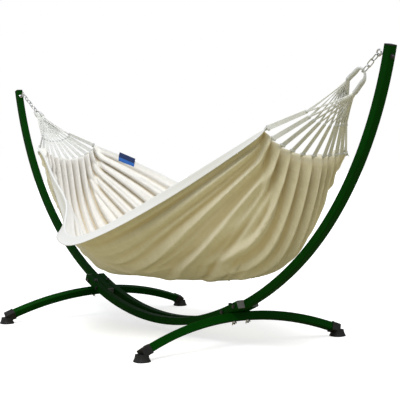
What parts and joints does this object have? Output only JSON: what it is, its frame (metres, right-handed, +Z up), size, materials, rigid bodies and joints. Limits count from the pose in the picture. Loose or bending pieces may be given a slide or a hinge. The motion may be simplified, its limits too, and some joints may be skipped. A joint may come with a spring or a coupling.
{
  "type": "hammock on stand",
  "caption": "Two-person cloth hammock hung by rope fans and chains from a bolted arc stand of curved square steel tube on splayed feet.",
  "frame": {"origin": "on the floor under the middle of the stand", "axes": "+X along the hammock towards the right arm, +Y across towards the back feet, +Z up"},
  "size_m": [3.6414, 1.236, 1.3832],
  "materials": {
    "frame_paint": "satin dark green powder coat",
    "plug_plastic": "matt grey moulded plastic",
    "shoe_plastic": "matt black moulded plastic",
    "black_steel": "black coated steel",
    "zinc": "bright zinc plate",
    "cloth": "unbleached woven cotton",
    "rope": "twisted cotton cord",
    "label": "plain woven label"
  },
  "bodies": {
    "stand": {"arm_bolt_left_inner": "zinc", "arm_bolt_left_outer": "zinc", "arm_bolt_right_inner": "zinc", "arm_bolt_right_outer": "zinc", "arm_inner_plug_left": "plug_plastic", "arm_inner_plug_right": "plug_plastic", "arm_left": "frame_paint", "arm_nut_left_inner": "zinc", "arm_nut_left_outer": "zinc", "arm_nut_right_inner": "zinc", "arm_nut_right_outer": "zinc", "arm_right": "frame_paint", "arm_tip_cap_left": "shoe_plastic", "arm_tip_cap_right": "shoe_plastic", "centre_rail_back": "frame_paint", "centre_rail_front": "frame_paint", "eye_bolt_left": "zinc", "eye_bolt_right": "zinc", "eye_nut_left": "zinc", "eye_nut_right": "zinc", "foot_arc_left": "frame_paint", "foot_arc_right": "frame_paint", "foot_bolt_left_back": "black_steel", "foot_bolt_left_front": "black_steel", "foot_bolt_right_back": "black_steel", "foot_bolt_right_front": "black_steel", "foot_shoe_left_back": "shoe_plastic", "foot_shoe_left_front": "shoe_plastic", "foot_shoe_right_back": "shoe_plastic", "foot_shoe_right_front": "shoe_plastic", "rail_plug_back_left": "plug_plastic", "rail_plug_back_right": "plug_plastic", "rail_plug_front_left": "plug_plastic", "rail_plug_front_right": "plug_plastic"},
    "hammock": {"chain_link_left_1": "zinc", "chain_link_left_2": "zinc", "chain_link_left_3": "zinc", "chain_link_left_4": "zinc", "chain_link_left_5": "zinc", "chain_link_left_6": "zinc", "chain_link_right_1": "zinc", "chain_link_right_2": "zinc", "chain_link_right_3": "zinc", "edge_label": "label", "hammock_cloth": "cloth", "rope_end_left": "rope", "rope_end_right": "rope"},
    "wing_nut_left_back": {"wing_nut_left_back": "zinc"},
    "wing_nut_left_front": {"wing_nut_left_front": "zinc"},
    "wing_nut_right_back": {"wing_nut_right_back": "zinc"},
    "wing_nut_right_front": {"wing_nut_right_front": "zinc"}
  },
  "joints": [
    {"name": "hammock_swing", "type": "hinge", "parent": "stand", "child": "hammock", "pos_m": [1.72722, 0, 1.34628], "axis": [1, 0, -0.0001], "range_deg": [-25, 25]},
    {"name": "wing_nut_left_back_turn", "type": "hinge", "parent": "stand", "child": "wing_nut_left_back", "pos_m": [-0.7195, 0.0405, 0.13148], "axis": [0.3494, 0, 0.937], "continuous": true},
    {"name": "wing_nut_left_front_turn", "type": "hinge", "parent": "stand", "child": "wing_nut_left_front", "pos_m": [-0.7195, -0.0405, 0.13148], "axis": [0.3494, 0, 0.937], "continuous": true},
    {"name": "wing_nut_right_back_turn", "type": "hinge", "parent": "stand", "child": "wing_nut_right_back", "pos_m": [0.7195, 0.0405, 0.13148], "axis": [-0.3494, 0, 0.937], "continuous": true},
    {"name": "wing_nut_right_front_turn", "type": "hinge", "parent": "stand", "child": "wing_nut_right_front", "pos_m": [0.7195, -0.0405, 0.13148], "axis": [-0.3494, 0, 0.937], "continuous": true}
  ]
}
